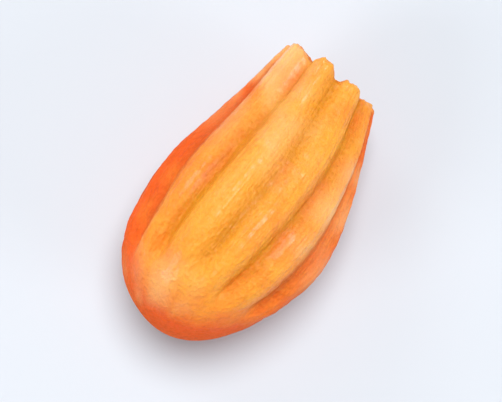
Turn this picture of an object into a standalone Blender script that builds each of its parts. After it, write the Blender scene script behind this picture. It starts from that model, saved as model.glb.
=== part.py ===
"""A tulumba: one length of star-piped dough, fried and soaked in syrup.

The piece lies along X with its rounded end towards -X and its cut end towards +X.
It rests on a small flat spot under its belly, and the origin is the middle of its
base.  Units are metres and +Z is up.  Run it with:

    blender --background --python part.py
"""

import math

import bmesh
import bpy
from mathutils import Vector

# Overall size of the finished piece
LENGTH = 0.053
WIDTH = 0.0325
HEIGHT = 0.0305

# Outline from end to end, as shares of the length and of the widest radius
WIDEST_AT = 0.42
CUT_AT = 0.95
CUT_RADIUS = 0.562
DOME_FULLNESS = 1.92
TAPER_BEND = 0.28

# Ridges: the angle that each one takes up round the middle, and round the cut end, in degrees,
# going round from the first groove
RIDGE_SPANS = (31, 22, 34, 32, 30, 31, 31, 31, 30, 32, 31, 25)
FIRST_GROOVE = 1.0
CUT_SPANS = (41, 54, 25, 23, 24, 23, 24, 23, 23, 22, 33, 45)
CUT_FIRST_GROOVE = -8.0
SPREAD_FROM = 0.30
SPREAD_TO = 1.10
GROOVE_DEPTH = 0.00175
CREASE_SOFTNESS = 0.26
FINGER_PUFF = 0.0002
PUFF_LENGTH = 0.0022

# Each groove in turn: its share of the full depth, less on the underside where the piece was
# pressed, and where it begins, in millimetres from the tip
GROOVE_SHARES = (0.76, 0.96, 0.68, 0.70, 0.66, 0.50, 0.30, 0.50, 0.62, 0.70, 0.88, 1.00)
GROOVE_STARTS = (9.8, 7.9, 7.6, 8.3, 9.2, 7.8, 8.6, 9.4, 8.0, 8.8, 8.6, 7.9)
START_UNIT = 0.001
GROOVE_RISE = 0.0048
SHALLOWER_AT_CUT = 0.22

# Cut end: how far each ridge's tooth stands out, in ridge order, and the hollow inside them
TEETH = (2.0, 0.8, 0.1, 0.5, 1.1, 0.7, 0.3, 0.9, 0.4, 0.6, 0.5, 1.4)
TOOTH_UNIT = 0.001
TOOTH_ROOT = 0.80
LIP = 0.0012
HOLLOW = 0.0022
FOLD_DEPTH = 0.0007
CUT_SLANT = 0.10

# Small unevenness of hand-cut dough: a sway near the tip and a bow to the other side past the
# middle, each with the share of the length where it is greatest and how far it reaches, and
# the drop, flattening and lumps
TIP_SWAY = 0.0018
SWAY_AT = 0.115
SWAY_REACH = 0.21
SIDE_BOW = 0.0005
BOW_AT = 0.67
BOW_REACH = 0.20
CUT_END_DROP = 0.0008
CUT_END_OVAL = -0.15
LUMP = 0.00018
LUMP_DRIFT = 0.0067
LUMP_LENGTH = 0.0091

# The flat spot that it rests on: how much of the belly is taken off
REST_CUT = 0.0006

# Fineness of the mesh
POINTS_PER_RIDGE = 8
DOME_STEPS = 13
SIDE_STEPS = 21
LIP_STEPS = 3
FACE_STEPS = 6
MERGE_DISTANCE = 0.00001
SHARP_ANGLE = math.radians(50)

# Fried dough: colour, roughness and metallic value
CRUST_COLOUR = (0.89, 0.37, 0.065, 1.0)
CRUST_ROUGHNESS = 0.38
CRUST_METALLIC = 0.0


def smooth_step(value, low, high):
    """0 below low, 1 above high, and a smooth rise between them."""
    share = (value - low) / (high - low)
    share = min(max(share, 0.0), 1.0)
    return share * share * (3.0 - 2.0 * share)


def bell(value, middle, reach):
    """1 at the middle, and falling away smoothly on both sides of it."""
    return math.exp(-(((value - middle) / reach) ** 2))


def taper(share):
    """How much of the narrowing is done at a share of the way to the cut: round, then straight."""
    reach = math.hypot(1.0, TAPER_BEND) - TAPER_BEND
    return (math.hypot(share, TAPER_BEND) - TAPER_BEND) / reach


def half_outline():
    """Points (x, radius) from the tip of the rounded end to the middle of the cut face."""
    widest = 0.5 * WIDTH
    power = 2.0 / DOME_FULLNESS
    points = []
    for step in range(DOME_STEPS):
        turn = 0.5 * math.pi * step / DOME_STEPS
        x = WIDEST_AT * LENGTH * (1.0 - math.cos(turn) ** power)
        points.append((x, widest * math.sin(turn) ** power))
    for step in range(SIDE_STEPS + 1):
        share = step / SIDE_STEPS
        x = LENGTH * (WIDEST_AT + (CUT_AT - WIDEST_AT) * share)
        points.append((x, widest * (1.0 - (1.0 - CUT_RADIUS) * taper(share))))
    cut_x, cut_radius = points[-1]
    for step in range(1, LIP_STEPS + 1):
        turn = 0.5 * math.pi * step / LIP_STEPS
        x = cut_x + LIP * math.sin(turn)
        points.append((x, cut_radius - LIP * (1.0 - math.cos(turn))))
    for step in range(1, FACE_STEPS + 1):
        share = step / FACE_STEPS
        x = cut_x + LIP - HOLLOW * 0.5 * (1.0 - math.cos(math.pi * share))
        points.append((x, (cut_radius - LIP) * (1.0 - share)))
    return points


def turned_body():
    """The plain body: the half outline spun about the X axis."""
    body = bmesh.new()
    corners = [body.verts.new((x, 0.0, radius)) for x, radius in half_outline()]
    edges = [body.edges.new(pair) for pair in zip(corners, corners[1:])]
    bmesh.ops.spin(
        body,
        geom=corners + edges,
        cent=(0.0, 0.0, 0.0),
        axis=(1.0, 0.0, 0.0),
        angle=2.0 * math.pi,
        steps=POINTS_PER_RIDGE * len(RIDGE_SPANS),
        use_merge=True,
    )
    bmesh.ops.remove_doubles(body, verts=body.verts, dist=MERGE_DISTANCE)
    return body


def ridge_place(round_share):
    """Ridge number, place across it from 0 to 1, and angles round the middle and the cut end."""
    counted = round_share * len(RIDGE_SPANS)
    ridge = int(counted) % len(RIDGE_SPANS)
    across = counted - int(counted)
    angle = FIRST_GROOVE + sum(RIDGE_SPANS[:ridge]) + across * RIDGE_SPANS[ridge]
    cut_angle = CUT_FIRST_GROOVE + sum(CUT_SPANS[:ridge]) + across * CUT_SPANS[ridge]
    return ridge, across, math.radians(angle), math.radians(cut_angle)


def scallop(across):
    """How deep between ridges a place is: 0 on the crest, 1 in the crease where two ridges meet."""
    highest = math.hypot(1.0, CREASE_SOFTNESS)
    height = math.hypot(math.sin(math.pi * across), CREASE_SOFTNESS)
    return (highest - height) / (highest - CREASE_SOFTNESS)


def between(values, ridge, across):
    """A value at a place across a ridge, from the values of the two grooves beside it."""
    first = values[ridge]
    second = values[(ridge + 1) % len(values)]
    return first + (second - first) * across


def piped(point):
    """Where a point of the plain body goes once the ridges, teeth and bends are in it."""
    x = point.x
    radius = math.hypot(point.y, point.z)
    round_share = (math.atan2(point.y, point.z) / (2.0 * math.pi)) % 1.0
    ridge, across, angle, cut_angle = ridge_place(round_share)
    groove = scallop(across)
    outer_share = min(radius / (0.5 * WIDTH * CUT_RADIUS), 1.0)

    to_cut = smooth_step(x, SPREAD_FROM * LENGTH, SPREAD_TO * LENGTH)
    angle += to_cut * (cut_angle - angle)

    start = START_UNIT * between(GROOVE_STARTS, ridge, across)
    full = smooth_step(x, start, start + GROOVE_RISE)
    puff = FINGER_PUFF * bell(x, start + GROOVE_RISE, PUFF_LENGTH) * (1.0 - groove)
    deepest = GROOVE_DEPTH * between(GROOVE_SHARES, ridge, across)
    deepest *= (1.0 - SHALLOWER_AT_CUT * to_cut) * outer_share ** 2
    drop = deepest * groove * full
    lumps = LUMP * math.sin(2.0 * angle + x / LUMP_DRIFT) * math.sin(x / LUMP_LENGTH)
    radius = max(radius - drop + puff + lumps * outer_share, 0.0)

    rooted = smooth_step(x, TOOTH_ROOT * LENGTH, CUT_AT * LENGTH)
    on_face = smooth_step(x, CUT_AT * LENGTH, CUT_AT * LENGTH + LIP)
    x += rooted * outer_share ** 2 * TEETH[ridge] * TOOTH_UNIT * (1.0 - groove)
    x -= on_face * FOLD_DEPTH * math.sin(math.pi * outer_share) * groove

    sway = TIP_SWAY * bell(x / LENGTH, SWAY_AT, SWAY_REACH)
    bow = SIDE_BOW * bell(x / LENGTH, BOW_AT, BOW_REACH)
    y = radius * math.sin(angle) + sway - bow
    x += rooted * CUT_SLANT * y
    oval = HEIGHT / WIDTH * (1.0 + CUT_END_OVAL * to_cut)
    z = radius * math.cos(angle) * oval - CUT_END_DROP * to_cut
    return Vector((x, y, z))


def extent(body, axis):
    """Lowest and highest place of the mesh along an axis."""
    places = [vertex.co[axis] for vertex in body.verts]
    return min(places), max(places)


def fit_to_size(body):
    """Scales the piece to its named length and width, and to its height before the flat is cut."""
    sizes = (LENGTH, WIDTH, HEIGHT + REST_CUT)
    factors = []
    for axis, size in enumerate(sizes):
        low, high = extent(body, axis)
        factors.append(size / (high - low))
    bmesh.ops.scale(body, vec=factors, verts=body.verts)


def cut_rest_flat(body):
    """Takes the lowest part of the belly off and closes the cut with a flat face."""
    floor = extent(body, 2)[0] + REST_CUT
    geometry = body.verts[:] + body.edges[:] + body.faces[:]
    cut = bmesh.ops.bisect_plane(
        body,
        geom=geometry,
        dist=MERGE_DISTANCE,
        plane_co=(0.0, 0.0, floor),
        plane_no=(0.0, 0.0, -1.0),
        clear_outer=True,
    )
    rim = [item for item in cut["geom_cut"] if isinstance(item, bmesh.types.BMEdge)]
    bmesh.ops.contextual_create(body, geom=rim)


def move_to_origin(body):
    """Puts the middle of the piece's base at the origin."""
    middle_x = sum(extent(body, 0)) / 2.0
    middle_y = sum(extent(body, 1)) / 2.0
    floor = extent(body, 2)[0]
    bmesh.ops.translate(body, vec=(-middle_x, -middle_y, -floor), verts=body.verts)


def crust_material():
    """Golden fried dough with a thin coat of syrup."""
    material = bpy.data.materials.new("fried_dough")
    material.use_nodes = True
    shader = material.node_tree.nodes["Principled BSDF"]
    shader.inputs["Base Color"].default_value = CRUST_COLOUR
    shader.inputs["Roughness"].default_value = CRUST_ROUGHNESS
    shader.inputs["Metallic"].default_value = CRUST_METALLIC
    return material


def make_tulumba():
    """The whole piece as one closed solid."""
    body = turned_body()
    for vertex in body.verts:
        vertex.co = piped(vertex.co)
    fit_to_size(body)
    cut_rest_flat(body)
    move_to_origin(body)
    bmesh.ops.recalc_face_normals(body, faces=body.faces)
    mesh = bpy.data.meshes.new("tulumba")
    body.to_mesh(mesh)
    body.free()
    mesh.shade_smooth()
    mesh.set_sharp_from_angle(angle=SHARP_ANGLE)
    mesh.materials.append(crust_material())
    piece = bpy.data.objects.new("tulumba", mesh)
    bpy.context.scene.collection.objects.link(piece)
    return piece


def main():
    """Empties the scene and models the tulumba in it."""
    for old in list(bpy.data.objects):
        bpy.data.objects.remove(old, do_unlink=True)
    make_tulumba()


main()
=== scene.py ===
"""Tulumba: the looks of one syrup-soaked piece of star-piped fried dough.

The piece lies along X, its rounded end towards -X and its cut end towards +X, on a
pale floor at z = 0.  Units are metres.
"""

import math

import bmesh
import bpy
from bpy.props import FloatProperty, FloatVectorProperty, IntProperty, PointerProperty
from bpy.types import Operator, Panel, PropertyGroup
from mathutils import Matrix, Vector, noise


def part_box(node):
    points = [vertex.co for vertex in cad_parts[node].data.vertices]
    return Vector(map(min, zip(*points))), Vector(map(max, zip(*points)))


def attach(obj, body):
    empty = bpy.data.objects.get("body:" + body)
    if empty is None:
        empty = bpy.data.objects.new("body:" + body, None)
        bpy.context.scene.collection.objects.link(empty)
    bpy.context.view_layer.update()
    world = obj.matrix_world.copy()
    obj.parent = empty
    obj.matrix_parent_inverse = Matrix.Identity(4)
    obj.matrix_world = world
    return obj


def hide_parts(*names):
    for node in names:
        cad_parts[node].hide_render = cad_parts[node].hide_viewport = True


bl_info = {
    "name": "Tulumba",
    "version": (1, 0, 0),
    "blender": (4, 5, 0),
    "location": "3D View > Sidebar > Tulumba",
    "description": "Models one piece of star-piped fried dough and a soft studio for it",
    "category": "Add Mesh",
}

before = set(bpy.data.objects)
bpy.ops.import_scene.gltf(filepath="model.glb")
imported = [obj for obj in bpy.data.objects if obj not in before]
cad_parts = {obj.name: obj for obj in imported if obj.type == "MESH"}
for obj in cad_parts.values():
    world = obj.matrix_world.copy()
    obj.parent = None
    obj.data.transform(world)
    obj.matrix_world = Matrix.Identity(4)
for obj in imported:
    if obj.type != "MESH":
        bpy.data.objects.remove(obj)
NODE = "tulumba"
CAD_LOW, CAD_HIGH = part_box(NODE)
CAD_SIZE = CAD_HIGH - CAD_LOW

# Outline from end to end, as shares of the length and of the widest radius, and the steps over
# the lip of the cut end and over its face
WIDEST_AT = 0.42
CUT_AT = 0.95
CUT_RADIUS = 0.562
DOME_FULLNESS = 1.92
TAPER_BEND = 0.28
LIP_STEPS = 8
FACE_STEPS = 34

# Ridges: the angle that each one takes up round the middle, and round the cut end, in degrees,
# going round from the first groove.  They drift from one to the other between two shares of the
# length, meet in soft creases, and puff out a little where they start.
RIDGE_SPANS = (31, 22, 34, 32, 30, 31, 31, 31, 30, 32, 31, 25)
FIRST_GROOVE = 1.0
CUT_SPANS = (41, 54, 25, 23, 24, 23, 24, 23, 23, 22, 33, 45)
CUT_FIRST_GROOVE = -8.0
SPREAD_FROM = 0.30
SPREAD_TO = 1.10
CREASE_SOFTNESS = 0.26
RIDGE_PUFF = 0.0002
PUFF_LENGTH = 0.0022

# Each groove in turn: its share of the full depth, less on the underside where the piece was
# pressed, and where it begins, in millimetres from the tip.  It sinks to its depth over the
# rise, and loses a share of it by the cut end.
GROOVE_SHARES = (0.76, 0.96, 0.68, 0.70, 0.66, 0.50, 0.30, 0.50, 0.62, 0.70, 0.88, 1.00)
GROOVE_STARTS = (9.8, 7.9, 7.6, 8.3, 9.2, 7.8, 8.6, 9.4, 8.0, 8.8, 8.6, 7.9)
START_UNIT = 0.001
GROOVE_RISE = 0.0048
SHALLOWER_AT_CUT = 0.22

# Cut end: how far each ridge's tooth stands out, in ridge order, the hollow inside them, and the
# torn crumb, in bumps to a metre, with a finer crumb on it
TEETH = (2.0, 0.8, 0.1, 0.5, 1.1, 0.7, 0.3, 0.9, 0.4, 0.6, 0.5, 1.4)
TOOTH_UNIT = 0.001
TOOTH_ROOT = 0.80
LIP = 0.0012
HOLLOW = 0.0022
FOLD_DEPTH = 0.0007
CUT_SLANT = 0.10
CRUMB_FINENESS = 800.0
CRUMB_HEIGHT = 0.00045
FINER_CRUMB = 2.3
FINER_CRUMB_SHARE = 0.6
RAGGED_TURNS = 7.0
RAGGED_LENGTH = 0.0006

# Small unevenness of hand-cut dough: a sway near the tip and a bow to the other side past the
# middle, each with the share of the length where it is greatest and how far it reaches, and
# the drop, flattening and lumps
TIP_SWAY = 0.0018
SWAY_AT = 0.115
SWAY_REACH = 0.21
SIDE_BOW = 0.0005
BOW_AT = 0.67
BOW_REACH = 0.20
CUT_END_DROP = 0.0008
CUT_END_OVAL = -0.15
LUMP = 0.00018
LUMP_DRIFT = 0.0067
LUMP_LENGTH = 0.0091

# The flat spot that it rests on: how much of the belly is pressed in
REST_CUT = 0.0006

# Relief of the crust: how fine each pattern is along the ridges, to a metre, and across them, to
# half the width.  The rounded end keeps only a share of the nozzle's streaks.
SWELL_FINENESS = (130.0, 2.4)
STREAK_FINENESS = (28.0, 21.0)
FINER_STREAK_FINENESS = (70.0, 37.0)
FINER_STREAK_SHARE = 0.7
ROUND_END_STREAKS = 0.25
GRAIN_FINENESS = 900.0
GRAIN_SHARE = 0.5

# Frying blisters: how many fit in a metre, their largest and smallest radius as shares of their
# spacing, what shuffles their sizes, how far in from the edge they are flat on top, and how high
# they stand on plain crust, with more where the grooves begin
BLISTER_FINENESS = 430.0
BLISTER_LARGEST = 0.5
BLISTER_SMALLEST = 0.12
BLISTER_SHUFFLE = 7.3
BLISTER_TOP = 0.8
BLISTERS_ON_PLAIN = 0.45
BLISTERS_AT_STARTS = 1.6

# Painted highlights: paler spots of the crust that stand in for shine where it faces upwards. For
# each, the middle's distance from the rounded end and to the side, radius, and strength
PAINTED_HIGHLIGHT_SPOTS = (
    (0.0490, 0.0085, 0.0100, 1.00),
    (0.0370, 0.0120, 0.0080, 0.30),
    (0.0075, 0.0065, 0.0078, 0.52),
    (0.0325, -0.0112, 0.0070, 0.75),
    (0.0390, -0.0114, 0.0045, 0.60),
    (0.0255, -0.0096, 0.0045, 0.30),
    (0.0335, -0.0004, 0.0050, 0.50),
    (0.0100, 0.0018, 0.0055, 0.35),
    (0.0400, 0.0010, 0.0070, 0.60),
    (0.0225, -0.0152, 0.0070, 0.38),
)

# Spots of painted shade, and ones below 0 of painted light, in the same way
SHADE_AND_LIGHT_SPOTS = (
    (0.0275, -0.0046, 0.0045, 1.00),
    (0.0225, -0.0036, 0.0045, 1.20),
    (0.0476, -0.0041, 0.0055, 1.20),
    (0.0114, 0.0066, 0.0045, 1.20),
    (0.0155, 0.0128, 0.0080, -1.00),
    (0.0150, -0.0078, 0.0075, -1.00),
    (0.0465, -0.0090, 0.0055, -1.00),
    (0.0405, 0.0105, 0.0050, -1.00),
)
SPOT_SHADE_STRENGTH = 0.085

# Edges of those spots: how ragged they are and how fine, how much weaker the painted highlights are
# down in a groove, and how far the crust has to face upwards for their full strength
SPOT_RAGGEDNESS = 0.4
SPOT_FINENESS = 260.0
SPOT_LOST_IN_GROOVE = 0.7
SPOT_FACING = 0.3

# How pale blister tops are, and the torn crumb of the teeth, which is palest where it stands out
BLISTER_PALENESS = 0.3
TORN_PALENESS = 0.5
TORN_LEVEL = 0.5

# Painted shade: how much deeper one flank is coloured than the other, and the rounded end than the
# rest, and how much less the cut face takes of the sides' painted shade
FLANK_SHADE = 0.15
END_SHADE = 0.16
END_REACH = 0.0120
CUT_FACE_SPARED = 0.6

# How far past its start a groove takes its full colour
STAIN_RISE = 0.0100

# Marks in the crust's colour, shine and finest relief: how many fit in a metre along X, Y and Z,
# and how much finer detail they have
STREAK_MARKS = ((60.0, 900.0, 900.0), 3.0)
FINE_STREAK_MARKS = ((240.0, 2600.0, 2600.0), 2.0)
MOTTLE_MARKS = ((170.0, 210.0, 210.0), 3.0)
GRAIN_MARKS = ((1500.0, 1800.0, 1800.0), 4.0)
PORE_FINENESS = 1300.0

# Colour: how sharply it deepens into a groove, how uneven streaks and grain make it, how soon it
# turns to the painted shade of the sides, and where the deepest painted shade lies down there, in
# the grooves, elsewhere and along the streaks
GROOVE_BEND = 1.4
STREAK_TONE = 0.9
GRAIN_TONE = 1.2
SIDE_SHADE_TONE = 3.3
MOTTLE_LEVEL = 0.62
DEEP_IN_GROOVES = 0.70
DEEP_ELSEWHERE = 0.09
DEEP_UNEVENNESS = 0.70

# Bare crust: its roughness, more in the grain and down the sides, its shine, and the glow of
# light inside the dough, which reaches furthest in red
CRUST_ROUGHNESS = 0.20
GRAIN_ROUGHNESS = 0.35
SIDE_ROUGHNESS = 1.1
CRUST_SHINE = 0.25
DOUGH_GLOW = 0.35
GLOW_BY_COLOUR = (1.0, 0.35, 0.10)
GLOW_REACH = 0.0010

# Syrup: how much of it has drained from the sides and the grooves, how much more lies on the paler
# dough and the painted highlights, and its own roughness and bending of light
DRAINED_FROM_SIDE = 2.6
DRAINED_FROM_GROOVE = 0.80
SYRUP_ON_PALE = 0.7
SYRUP_ROUGHNESS = 0.21
SYRUP_IOR = 1.40

# Finest relief of the crust: streaks and pores beside its grain, and how deep it all is
FINE_STREAK_RELIEF = 0.8
PORE_RELIEF = 0.5
FINE_RELIEF_STRENGTH = 0.8
FINE_RELIEF_DEPTH = 0.00038

MERGE_DISTANCE = 0.000001
FLOOR_STEPS = 12
FLOOR_TURNS = 64
FLOOR_ROUGHNESS = 0.7

# Soft lamps: name, share of the lamp strength, and the direction that the light comes from
LAMPS = (
    ("top_lamp", 1.00, (0.32, 0.08, 1.00)),
    ("end_lamp", 0.30, (-0.72, 0.42, 0.50)),
    ("left_lamp", 0.17, (0.40, 0.75, 0.45)),
    ("right_lamp", 0.27, (0.10, -0.90, 0.32)),
)
LAMP_SPREAD = math.radians(28.0)

# What each point of the crust keeps for its colour: three shares, from about 0 to about 1, and
# its place on the nozzle's straight stream, so that marks made by the nozzle follow the ridges
# The pale share also carries the painted highlights, and the side share the painted shade
SHARES = ("groove", "pale_and_highlight", "side")
STREAM = "stream"


class TulumbaShape(PropertyGroup):
    """Sizes of the piece and of the relief in its crust."""

    length: FloatProperty(
        name="Length",
        description="From the rounded end to the longest tooth of the cut end",
        default=CAD_SIZE.x,
        unit="LENGTH",
    )
    width: FloatProperty(
        name="Width",
        description="Across the widest part",
        default=CAD_SIZE.y,
        unit="LENGTH",
    )
    height: FloatProperty(
        name="Height",
        description="From the flat spot it rests on to the top ridge",
        default=CAD_SIZE.z,
        unit="LENGTH",
    )
    groove_depth: FloatProperty(
        name="Groove Depth",
        description="Depth of the piped grooves on the upper side",
        default=0.00175,
        unit="LENGTH",
    )
    streak_depth: FloatProperty(
        name="Streak Depth",
        description="Depth of the fine lengthwise marks that the nozzle left",
        default=0.00018,
        unit="LENGTH",
    )
    swell_height: FloatProperty(
        name="Swell Height",
        description="How far the ridges swell and sink along their length",
        default=0.00018,
        unit="LENGTH",
    )
    blister_height: FloatProperty(
        name="Blister Height",
        description="How far the small frying blisters stand out",
        default=0.00012,
        unit="LENGTH",
    )
    points_per_ridge: IntProperty(
        name="Points per Ridge",
        description="Fineness of the mesh round the piece",
        default=30,
    )
    side_steps: IntProperty(
        name="Side Steps",
        description="Fineness of the mesh along the piece",
        default=136,
    )


class TulumbaCrust(PropertyGroup):
    """Colours of the fried dough."""

    ridge_colour: FloatVectorProperty(
        name="Ridge Colour",
        description="Pale golden orange on the ridges",
        subtype="COLOR",
        size=4,
        default=(0.93, 0.37, 0.034, 1.0),
    )
    groove_colour: FloatVectorProperty(
        name="Groove Colour",
        description="Deeper orange down in the grooves",
        subtype="COLOR",
        size=4,
        default=(0.67, 0.238, 0.006, 1.0),
    )
    # Painted shade: the colour that stands in for shade down the sides and under the piece
    side_colour: FloatVectorProperty(
        name="Side Colour",
        description="Deeper orange down the sides and under the piece",
        subtype="COLOR",
        size=4,
        default=(0.88, 0.11, 0.006, 1.0),
    )
    # Painted shade: the deepest shade in the grooves and streaks down the sides
    deep_shade_colour: FloatVectorProperty(
        name="Deep Colour",
        description="Deep red-orange in the grooves and streaks down the sides",
        subtype="COLOR",
        size=4,
        default=(0.56, 0.075, 0.004, 1.0),
    )
    # Paler dough, and also the colour of the painted highlights
    pale_and_highlight_colour: FloatVectorProperty(
        name="Pale Colour",
        description="Paler dough at blister tops and along the torn teeth",
        subtype="COLOR",
        size=4,
        default=(0.95, 0.48, 0.15, 1.0),
    )


class TulumbaStage(PropertyGroup):
    """Floor, lamps and camera."""

    floor_colour: FloatVectorProperty(
        name="Floor Colour",
        description="Pale, slightly blue floor",
        subtype="COLOR",
        size=4,
        default=(0.62, 0.66, 0.715, 1.0),
    )
    floor_radius: FloatProperty(
        name="Floor Radius",
        description="From the middle of the floor to its rim",
        default=6.0,
        unit="LENGTH",
    )
    floor_flat: FloatProperty(
        name="Floor Flat",
        description="Radius of the flat middle of the floor",
        default=1.0,
        unit="LENGTH",
    )
    floor_rise: FloatProperty(
        name="Floor Rise",
        description="Height of the floor's rim above its middle",
        default=1.1,
        unit="LENGTH",
    )
    lamp_strength: FloatProperty(
        name="Lamp Strength",
        description="Light of the soft lamp overhead, in watts on a square metre",
        default=2.85,
    )
    sky_strength: FloatProperty(
        name="Sky Strength",
        description="Strength of the even white light from all round",
        default=0.20,
    )
    camera_height: FloatProperty(
        name="Camera Height",
        description="Height of the camera straight above the piece",
        default=0.33,
        unit="LENGTH",
    )
    lens: FloatProperty(
        name="Lens",
        description="Focal length of the camera in millimetres",
        default=135.0,
        subtype="DISTANCE_CAMERA",
    )
    roll: FloatProperty(
        name="Roll",
        description="Turn of the camera about its line of sight",
        default=math.radians(-57.5),
        subtype="ANGLE",
    )


def smooth_step(value, low, high):
    """0 below low, 1 above high, and a smooth rise between them."""
    share = (value - low) / (high - low)
    share = min(max(share, 0.0), 1.0)
    return share * share * (3.0 - 2.0 * share)


def bell(value, middle, reach):
    """1 at the middle, and falling away smoothly on both sides of it."""
    return math.exp(-(((value - middle) / reach) ** 2))


def taper(share):
    """How much of the narrowing is done at a share of the way to the cut: round, then straight."""
    reach = math.hypot(1.0, TAPER_BEND) - TAPER_BEND
    return (math.hypot(share, TAPER_BEND) - TAPER_BEND) / reach


def half_outline(shape):
    """Points (x, radius) from the tip of the rounded end to the middle of the cut face."""
    widest = 0.5 * shape.width
    power = 2.0 / DOME_FULLNESS
    dome_steps = shape.side_steps // 2
    points = []
    for step in range(dome_steps):
        turn = 0.5 * math.pi * step / dome_steps
        x = WIDEST_AT * shape.length * (1.0 - math.cos(turn) ** power)
        points.append((x, widest * math.sin(turn) ** power))
    for step in range(shape.side_steps + 1):
        share = step / shape.side_steps
        x = shape.length * (WIDEST_AT + (CUT_AT - WIDEST_AT) * share)
        points.append((x, widest * (1.0 - (1.0 - CUT_RADIUS) * taper(share))))
    cut_x, cut_radius = points[-1]
    for step in range(1, LIP_STEPS + 1):
        turn = 0.5 * math.pi * step / LIP_STEPS
        x = cut_x + LIP * math.sin(turn)
        points.append((x, cut_radius - LIP * (1.0 - math.cos(turn))))
    for step in range(1, FACE_STEPS + 1):
        share = step / FACE_STEPS
        x = cut_x + LIP - HOLLOW * 0.5 * (1.0 - math.cos(math.pi * share))
        points.append((x, (cut_radius - LIP) * (1.0 - share)))
    return points


def turned_body(shape):
    """The plain body: the half outline spun about the X axis."""
    body = bmesh.new()
    corners = [body.verts.new((x, 0.0, radius)) for x, radius in half_outline(shape)]
    edges = [body.edges.new(pair) for pair in zip(corners, corners[1:])]
    bmesh.ops.spin(
        body,
        geom=corners + edges,
        cent=(0.0, 0.0, 0.0),
        axis=(1.0, 0.0, 0.0),
        angle=2.0 * math.pi,
        steps=shape.points_per_ridge * len(RIDGE_SPANS),
        use_merge=True,
    )
    bmesh.ops.remove_doubles(body, verts=body.verts, dist=MERGE_DISTANCE)
    bmesh.ops.recalc_face_normals(body, faces=body.faces)
    body.normal_update()
    return body


def ridge_place(round_share):
    """Ridge number, place across it from 0 to 1, and angles round the middle and the cut end."""
    counted = round_share * len(RIDGE_SPANS)
    ridge = int(counted) % len(RIDGE_SPANS)
    across = counted - int(counted)
    angle = FIRST_GROOVE + sum(RIDGE_SPANS[:ridge]) + across * RIDGE_SPANS[ridge]
    cut_angle = CUT_FIRST_GROOVE + sum(CUT_SPANS[:ridge]) + across * CUT_SPANS[ridge]
    return ridge, across, math.radians(angle), math.radians(cut_angle)


def scallop(across):
    """How deep between ridges a place is: 0 on the crest, 1 in the crease where two ridges meet."""
    highest = math.hypot(1.0, CREASE_SOFTNESS)
    height = math.hypot(math.sin(math.pi * across), CREASE_SOFTNESS)
    return (highest - height) / (highest - CREASE_SOFTNESS)


def between(values, ridge, across):
    """A value at a place across a ridge, from the values of the two grooves beside it."""
    first = values[ridge]
    second = values[(ridge + 1) % len(values)]
    return first + (second - first) * across


def blister_share(place):
    """How far up the nearest frying blister a place is.  Many places have no blister near."""
    distances, centres = noise.voronoi(place)
    size = BLISTER_LARGEST * noise.cell(centres[0] * BLISTER_SHUFFLE)
    if size < BLISTER_SMALLEST:
        return 0.0
    return smooth_step(1.0 - distances[0] / size, 0.0, BLISTER_TOP)


def spot_share(spots, x, y):
    """How much of the given spots is at a place seen from above: 0 outside them."""
    ragged = SPOT_RAGGEDNESS * noise.noise(Vector((x, y, 0.0)) * SPOT_FINENESS)
    share = 0.0
    for spot_x, spot_y, radius, strength in spots:
        reach = math.hypot(x - spot_x, y - spot_y) / radius + ragged
        share += strength * (1.0 - smooth_step(reach, 0.0, 1.0))
    return min(share, 1.0)


def lengthwise_noise(along, across, fineness):
    """Noise at a place, with its own fineness along the ridges and across them."""
    along_fineness, across_fineness = fineness
    return noise.noise(along * along_fineness + across * across_fineness)


def crust_relief(shape, stream, radius, full):
    """Height of the fine relief at a place of the nozzle's stream, and its share of a blister."""
    along = Vector((stream.x, 0.0, 0.0))
    across = Vector((0.0, stream.y, stream.z)) / (0.5 * shape.width)
    swell = lengthwise_noise(along, across, SWELL_FINENESS) * shape.swell_height
    streaks = lengthwise_noise(along, across, STREAK_FINENESS)
    streaks += FINER_STREAK_SHARE * lengthwise_noise(along, across, FINER_STREAK_FINENESS)
    streaks *= ROUND_END_STREAKS + (1.0 - ROUND_END_STREAKS) * full
    grain = noise.noise(along * GRAIN_FINENESS + across * radius * GRAIN_FINENESS)
    marks = shape.streak_depth * (streaks + GRAIN_SHARE * grain)
    blister = blister_share(along * BLISTER_FINENESS + across * radius * BLISTER_FINENESS)
    blister *= BLISTERS_ON_PLAIN + BLISTERS_AT_STARTS * full * (1.0 - full)
    return swell + marks + blister * shape.blister_height, blister


def stream_place(shape, x, radius, angle, outer_share):
    """Where a point lay on the nozzle's straight stream, before the piece was cut and rounded."""
    stream = Vector((x, math.sin(angle), math.cos(angle)))
    stream.yz *= 0.5 * shape.width if x > WIDEST_AT * shape.length else radius
    stream.yz *= outer_share if x > CUT_AT * shape.length else 1.0
    return stream


def torn_crumb(radius, angle):
    """How far the torn dough stands out at a place of the cut face, above or below 0."""
    place = Vector((0.0, radius * math.sin(angle), radius * math.cos(angle))) * CRUMB_FINENESS
    return noise.noise(place) + FINER_CRUMB_SHARE * noise.noise(place * FINER_CRUMB)


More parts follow.
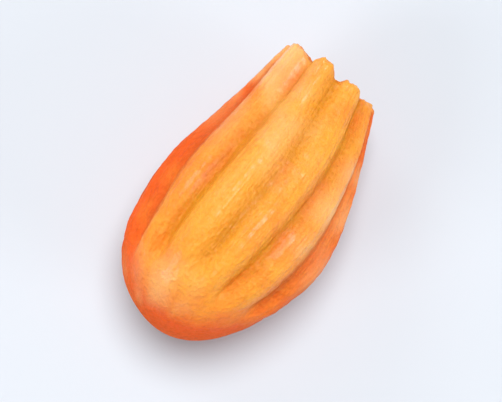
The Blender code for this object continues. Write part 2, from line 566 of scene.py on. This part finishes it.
def piped(shape, point, up):
    """Where a point of the plain body goes, its shares for colour, and its place on the stream.

    up is how far the plain body faces upwards there, from -1 to 1.
    """
    x = point.x
    radius = math.hypot(point.y, point.z)
    round_share = (math.atan2(point.y, point.z) / (2.0 * math.pi)) % 1.0
    ridge, across, angle, cut_angle = ridge_place(round_share)
    groove = scallop(across)
    outer_share = min(radius / (0.5 * shape.width * CUT_RADIUS), 1.0)
    stream = stream_place(shape, x, radius, angle, outer_share)

    # The ridges drift round on their way to the cut end
    to_cut = smooth_step(x, SPREAD_FROM * shape.length, SPREAD_TO * shape.length)
    angle += to_cut * (cut_angle - angle)

    # In or out: the groove, the puffed start of the ridge, lumps and the relief of the crust
    start = START_UNIT * between(GROOVE_STARTS, ridge, across)
    full = smooth_step(x, start, start + GROOVE_RISE)
    puff = RIDGE_PUFF * bell(x, start + GROOVE_RISE, PUFF_LENGTH) * (1.0 - groove)
    deepest = shape.groove_depth * between(GROOVE_SHARES, ridge, across)
    deepest *= (1.0 - SHALLOWER_AT_CUT * to_cut) * outer_share ** 2
    drop = deepest * groove * full
    lumps = LUMP * math.sin(2.0 * angle + x / LUMP_DRIFT) * math.sin(x / LUMP_LENGTH)
    relief, blister = crust_relief(shape, stream, radius, full)
    radius = max(radius - drop + puff + (lumps + relief) * outer_share, 0.0)

    # Along the piece: teeth with ragged edges, and a folded, torn face between them
    rooted = smooth_step(x, TOOTH_ROOT * shape.length, CUT_AT * shape.length)
    on_face = smooth_step(x, CUT_AT * shape.length, CUT_AT * shape.length + LIP)
    torn = torn_crumb(radius, angle)
    x += rooted * outer_share ** 2 * TEETH[ridge] * TOOTH_UNIT * (1.0 - groove)
    ragged = RAGGED_LENGTH * noise.noise(Vector((angle * RAGGED_TURNS, 0.0, 0.0)))
    x += rooted ** 3 * outer_share ** 2 * ragged
    x -= on_face * FOLD_DEPTH * math.sin(math.pi * outer_share) * groove
    x += on_face * torn * CRUMB_HEIGHT

    # Sideways and down: the sway, the bow, the slanted cut, and the flattened, drooping cut end
    sway = TIP_SWAY * bell(x / shape.length, SWAY_AT, SWAY_REACH)
    bow = SIDE_BOW * bell(x / shape.length, BOW_AT, BOW_REACH)
    y = radius * math.sin(angle) + sway - bow
    x += rooted * CUT_SLANT * y
    oval = shape.height / shape.width * (1.0 + CUT_END_OVAL * to_cut)
    z = radius * math.cos(angle) * oval - CUT_END_DROP * to_cut

    # Colour: deeper in the grooves, paler dough and painted highlights in places, and painted shade
    # down the sides, on one flank and at the rounded end
    stained = smooth_step(x, start, start + STAIN_RISE)
    dark = groove * stained * (1.0 - on_face * (1.0 - outer_share))
    above = smooth_step(up, 0.0, SPOT_FACING)
    # Painted highlights: paler spots where the crust faces upwards, weaker down in a groove
    spots = spot_share(PAINTED_HIGHLIGHT_SPOTS, x, y) * above * (1.0 - SPOT_LOST_IN_GROOVE * groove)
    crumb = TORN_PALENESS * on_face * (1.0 - groove) * (TORN_LEVEL + torn)
    # Paler blister tops and torn crumb, and the painted highlights
    pale_and_highlight = max(BLISTER_PALENESS * blister, crumb, spots)
    # Painted shade: deeper colour where the plain body faces downwards
    side = (0.5 - 0.5 * up) * (1.0 - CUT_FACE_SPARED * on_face)
    # Painted shade on one flank, and at the rounded end
    side *= 1.0 + FLANK_SHADE * math.sin(angle)
    side += END_SHADE * (1.0 - smooth_step(x, 0.0, END_REACH))
    # Painted shade at some spots, and painted light where the strength is below 0
    side += SPOT_SHADE_STRENGTH * spot_share(SHADE_AND_LIGHT_SPOTS, x, y) * above * (1.0 - groove)
    return Vector((x, y, z)), (dark, pale_and_highlight, side), stream


def extent(body, axis):
    """Lowest and highest place of the mesh along an axis."""
    places = [vertex.co[axis] for vertex in body.verts]
    return min(places), max(places)


def fit_to_size(body, shape):
    """Scales the piece to its length and width, and to its height before the belly is pressed."""
    sizes = (shape.length, shape.width, shape.height + REST_CUT)
    factors = []
    for axis, size in enumerate(sizes):
        low, high = extent(body, axis)
        factors.append(size / (high - low))
    bmesh.ops.scale(body, vec=factors, verts=body.verts)


def press_belly(body):
    """Presses the lowest part of the belly flat, and puts the middle of the base at the origin."""
    floor = extent(body, 2)[0] + REST_CUT
    for vertex in body.verts:
        vertex.co.z = max(vertex.co.z, floor)
    middle_x = sum(extent(body, 0)) / 2.0
    middle_y = sum(extent(body, 1)) / 2.0
    bmesh.ops.translate(body, vec=(-middle_x, -middle_y, -floor), verts=body.verts)


def finished_piece(body, name, material):
    """Turns a bmesh into a smooth-shaded object with one material."""
    bmesh.ops.recalc_face_normals(body, faces=body.faces)
    mesh = bpy.data.meshes.new(name)
    body.to_mesh(mesh)
    body.free()
    mesh.shade_smooth()
    mesh.materials.append(material)
    piece = bpy.data.objects.new(name, mesh)
    bpy.context.scene.collection.objects.link(piece)
    return piece


def add_node(tree, kind, label, **values):
    """Adds a node, and sets the properties and input values that are given."""
    node = tree.nodes.new(kind)
    node.label = label
    for name, value in values.items():
        if name in node.inputs:
            node.inputs[name].default_value = value
        else:
            setattr(node, name.lower(), value)
    return node


def add_math(tree, operation, first, second):
    """Adds a maths node whose inputs are sockets or numbers, and returns its output."""
    node = tree.nodes.new("ShaderNodeMath")
    node.operation = operation
    for socket, value in zip(node.inputs, (first, second)):
        if isinstance(value, bpy.types.NodeSocket):
            tree.links.new(value, socket)
        else:
            socket.default_value = value
    return node.outputs["Value"]


def add_mix(tree, factor, first, second):
    """Adds a colour mix whose inputs are sockets or colours, and returns its output."""
    node = tree.nodes.new("ShaderNodeMix")
    node.data_type = "RGBA"
    for name, value in (("Factor", factor), ("A", first), ("B", second)):
        socket = [item for item in node.inputs if item.name == name and item.enabled][0]
        if isinstance(value, bpy.types.NodeSocket):
            tree.links.new(value, socket)
        else:
            socket.default_value = value
    return [item for item in node.outputs if item.enabled][0]


def stretched_noise(tree, place, label, scale, detail):
    """Noise at a place, with its own fineness to a metre along each axis."""
    stretch = add_node(tree, "ShaderNodeMapping", label)
    stretch.inputs["Scale"].default_value = scale
    tree.links.new(place, stretch.inputs["Vector"])
    pattern = add_node(tree, "ShaderNodeTexNoise", label, Scale=1.0, Detail=detail)
    tree.links.new(stretch.outputs["Vector"], pattern.inputs["Vector"])
    return pattern.outputs["Fac"]


def deviation(tree, pattern, amount):
    """A pattern from 0 to 1 made into a change up and down from its middle."""
    return add_math(tree, "MULTIPLY", add_math(tree, "SUBTRACT", pattern, 0.5), amount)


def crust_marks(tree):
    """The shares kept on the crust, and the patterns on it, each as a socket under its name."""
    marks = {
        name: add_node(tree, "ShaderNodeAttribute", name, attribute_name=name).outputs["Fac"]
        for name in SHARES
    }
    stream = add_node(tree, "ShaderNodeAttribute", STREAM, attribute_name=STREAM).outputs["Vector"]
    place = add_node(tree, "ShaderNodeTexCoord", "place").outputs["Object"]
    marks["streaks"] = stretched_noise(tree, stream, "streaks", *STREAK_MARKS)
    marks["fine streaks"] = stretched_noise(tree, stream, "fine streaks", *FINE_STREAK_MARKS)
    marks["mottle"] = stretched_noise(tree, place, "mottle", *MOTTLE_MARKS)
    marks["grain"] = stretched_noise(tree, place, "grain", *GRAIN_MARKS)
    pores = add_node(
        tree, "ShaderNodeTexVoronoi", "pores", feature="SMOOTH_F1", Scale=PORE_FINENESS
    )
    tree.links.new(place, pores.inputs["Vector"])
    marks["pores"] = pores.outputs["Distance"]
    return marks


def crust_colour(tree, crust, marks):
    """Pale ridges, deeper grooves, painted shade down the sides, and paler dough and painted
    highlights over them all.
    """
    groove = marks["groove"]
    streaks = deviation(tree, marks["streaks"], STREAK_TONE)
    uneven = add_math(tree, "ADD", streaks, deviation(tree, marks["grain"], GRAIN_TONE))
    tone = add_math(tree, "ADD", add_math(tree, "POWER", groove, GROOVE_BEND), uneven)
    colour = add_mix(tree, tone, crust.ridge_colour, crust.groove_colour)

    # Painted shade down the sides, made uneven by the mottle
    mottle = add_math(tree, "SUBTRACT", marks["mottle"], MOTTLE_LEVEL)
    side = add_math(tree, "ADD", add_math(tree, "MULTIPLY", marks["side"], SIDE_SHADE_TONE), mottle)
    colour = add_mix(tree, side, colour, crust.side_colour)

    # Painted shade: deepest in the grooves and along the streaks down the sides
    deep_shade = add_math(tree, "MULTIPLY", groove, DEEP_IN_GROOVES)
    deep_shade = add_math(tree, "ADD", deep_shade, DEEP_ELSEWHERE)
    deep_shade = add_math(tree, "ADD", deep_shade, add_math(tree, "MULTIPLY", uneven, DEEP_UNEVENNESS))
    deep_shade = add_math(tree, "MULTIPLY", deep_shade, side)
    colour = add_mix(tree, deep_shade, colour, crust.deep_shade_colour)
    return add_mix(tree, marks["pale_and_highlight"], colour, crust.pale_and_highlight_colour)


def crust_roughness(tree, marks):
    """Rougher in the grain, and down the sides where the syrup has drained off."""
    rough = add_math(tree, "MULTIPLY", marks["grain"], GRAIN_ROUGHNESS)
    rough = add_math(tree, "ADD", rough, CRUST_ROUGHNESS)
    return add_math(tree, "ADD", rough, add_math(tree, "MULTIPLY", marks["side"], SIDE_ROUGHNESS))


def syrup_weight(tree, marks):
    """Patches of syrup, fewer down the sides and in the grooves, and more on the paler dough and the
    painted highlights.
    """
    drained = add_math(tree, "MULTIPLY", marks["side"], DRAINED_FROM_SIDE)
    left = add_math(tree, "SUBTRACT", 1.0, drained)
    drained = add_math(tree, "MULTIPLY", marks["groove"], DRAINED_FROM_GROOVE)
    left = add_math(tree, "SUBTRACT", left, drained)
    patches = add_math(tree, "MULTIPLY", marks["mottle"], left)
    return add_math(tree, "ADD", patches, add_math(tree, "MULTIPLY", marks["pale_and_highlight"], SYRUP_ON_PALE))


def fine_relief(tree, marks):
    """The finest streaks, grain and pores, as a bumped normal."""
    streaks = add_math(tree, "MULTIPLY", marks["fine streaks"], FINE_STREAK_RELIEF)
    height = add_math(tree, "ADD", streaks, marks["grain"])
    pores = add_math(tree, "MULTIPLY", marks["pores"], PORE_RELIEF)
    height = add_math(tree, "SUBTRACT", height, pores)
    bump = add_node(tree, "ShaderNodeBump", "fine relief")
    bump.inputs["Strength"].default_value = FINE_RELIEF_STRENGTH
    bump.inputs["Distance"].default_value = FINE_RELIEF_DEPTH
    tree.links.new(height, bump.inputs["Height"])
    return bump.outputs["Normal"]


def crust_material(crust):
    """Fried dough: pale ridges, deep orange grooves, lengthwise streaks and a thin coat of syrup."""
    material = bpy.data.materials.new("fried_dough")
    material.use_nodes = True
    tree = material.node_tree
    shader = tree.nodes["Principled BSDF"]
    shader.inputs["Subsurface Weight"].default_value = DOUGH_GLOW
    shader.inputs["Subsurface Radius"].default_value = GLOW_BY_COLOUR
    shader.inputs["Subsurface Scale"].default_value = GLOW_REACH
    shader.inputs["Specular IOR Level"].default_value = CRUST_SHINE
    shader.inputs["Coat Roughness"].default_value = SYRUP_ROUGHNESS
    shader.inputs["Coat IOR"].default_value = SYRUP_IOR

    marks = crust_marks(tree)
    tree.links.new(crust_colour(tree, crust, marks), shader.inputs["Base Color"])
    tree.links.new(crust_roughness(tree, marks), shader.inputs["Roughness"])
    tree.links.new(syrup_weight(tree, marks), shader.inputs["Coat Weight"])
    tree.links.new(fine_relief(tree, marks), shader.inputs["Normal"])
    return material


def round_floor(stage):
    """A round floor, flat in the middle, that rises gently towards its rim."""
    body = bmesh.new()
    corners = [body.verts.new((0.0, 0.0, 0.0))]
    for step in range(FLOOR_STEPS + 1):
        share = step / FLOOR_STEPS
        out = stage.floor_flat + (stage.floor_radius - stage.floor_flat) * share
        corners.append(body.verts.new((out, 0.0, stage.floor_rise * share ** 2)))
    edges = [body.edges.new(pair) for pair in zip(corners, corners[1:])]
    bmesh.ops.spin(
        body,
        geom=corners + edges,
        cent=(0.0, 0.0, 0.0),
        axis=(0.0, 0.0, 1.0),
        angle=2.0 * math.pi,
        steps=FLOOR_TURNS,
        use_merge=True,
    )
    bmesh.ops.remove_doubles(body, verts=body.verts, dist=MERGE_DISTANCE)
    return body


def floor_material(stage):
    """Plain pale matt floor."""
    material = bpy.data.materials.new("pale_floor")
    material.use_nodes = True
    shader = material.node_tree.nodes["Principled BSDF"]
    shader.inputs["Base Color"].default_value = stage.floor_colour
    shader.inputs["Roughness"].default_value = FLOOR_ROUGHNESS
    return material


def add_lamp(name, strength, direction):
    """Adds a wide soft lamp that shines evenly on everything from a direction."""
    lamp = bpy.data.lights.new(name, "SUN")
    lamp.energy = strength
    lamp.angle = LAMP_SPREAD
    lamp_object = bpy.data.objects.new(name, lamp)
    lamp_object.rotation_euler = Vector(direction).to_track_quat("Z", "Y").to_euler()
    bpy.context.scene.collection.objects.link(lamp_object)


class TULUMBA_OT_make_dough(Operator):
    """Model the ridged piece of fried dough in place of its plain solid"""

    bl_idname = "tulumba.make_dough"
    bl_label = "Make Dough"

    def execute(self, context):
        shape = context.scene.tulumba_shape
        body = turned_body(shape)
        layers = [body.verts.layers.float.new(name) for name in SHARES]
        stream_layer = body.verts.layers.float_vector.new(STREAM)
        for vertex in body.verts:
            place, shares, vertex[stream_layer] = piped(shape, vertex.co, vertex.normal.z)
            vertex.co = place
            for layer, share in zip(layers, shares):
                vertex[layer] = share
        fit_to_size(body, shape)
        press_belly(body)
        material = crust_material(context.scene.tulumba_crust)
        piece = finished_piece(body, "tulumba_dough", material)
        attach(piece, "root")
        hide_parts(NODE)
        return {"FINISHED"}


class TULUMBA_OT_make_stage(Operator):
    """Add the pale floor, the soft lamps and the camera"""

    bl_idname = "tulumba.make_stage"
    bl_label = "Make Stage"

    def execute(self, context):
        stage = context.scene.tulumba_stage
        scene = context.scene
        floor = finished_piece(round_floor(stage), "floor", floor_material(stage))

        world = bpy.data.worlds.new("soft_sky")
        world.use_nodes = True
        sky = world.node_tree.nodes["Background"]
        sky.inputs["Color"].default_value = (1.0, 1.0, 1.0, 1.0)
        sky.inputs["Strength"].default_value = stage.sky_strength
        scene.world = world

        for name, share, direction in LAMPS:
            add_lamp(name, share * stage.lamp_strength, direction)

        camera = bpy.data.cameras.new("camera")
        camera.lens = stage.lens
        camera_object = bpy.data.objects.new("camera", camera)
        camera_object.location = (0.0, 0.0, stage.camera_height)
        camera_object.rotation_euler = (0.0, 0.0, stage.roll)
        scene.collection.objects.link(camera_object)
        scene.camera = camera_object
        scene.view_settings.view_transform = "Standard"
        return {"FINISHED"}


class TULUMBA_PT_panel(Panel):
    """Sizes, colours and buttons of the tulumba"""

    bl_idname = "TULUMBA_PT_panel"
    bl_label = "Tulumba"
    bl_space_type = "VIEW_3D"
    bl_region_type = "UI"
    bl_category = "Tulumba"

    def draw(self, context):
        layout = self.layout
        scene = context.scene
        for group in (scene.tulumba_shape, scene.tulumba_crust, scene.tulumba_stage):
            for name in group.bl_rna.properties.keys():
                if name not in {"rna_type", "name"}:
                    layout.prop(group, name)
        layout.operator(TULUMBA_OT_make_dough.bl_idname)
        layout.operator(TULUMBA_OT_make_stage.bl_idname)


CLASSES = (
    TulumbaShape,
    TulumbaCrust,
    TulumbaStage,
    TULUMBA_OT_make_dough,
    TULUMBA_OT_make_stage,
    TULUMBA_PT_panel,
)


def register():
    """Registers the classes, and adds the three groups of settings to the scene."""
    for cls in CLASSES:
        bpy.utils.register_class(cls)
    bpy.types.Scene.tulumba_shape = PointerProperty(type=TulumbaShape)
    bpy.types.Scene.tulumba_crust = PointerProperty(type=TulumbaCrust)
    bpy.types.Scene.tulumba_stage = PointerProperty(type=TulumbaStage)


def unregister():
    """Takes the settings and the classes away again."""
    del bpy.types.Scene.tulumba_stage
    del bpy.types.Scene.tulumba_crust
    del bpy.types.Scene.tulumba_shape
    for cls in reversed(CLASSES):
        bpy.utils.unregister_class(cls)


def main():
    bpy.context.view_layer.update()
    register()
    bpy.ops.tulumba.make_dough()
    bpy.ops.tulumba.make_stage()


if __name__ == "__main__":
    main()
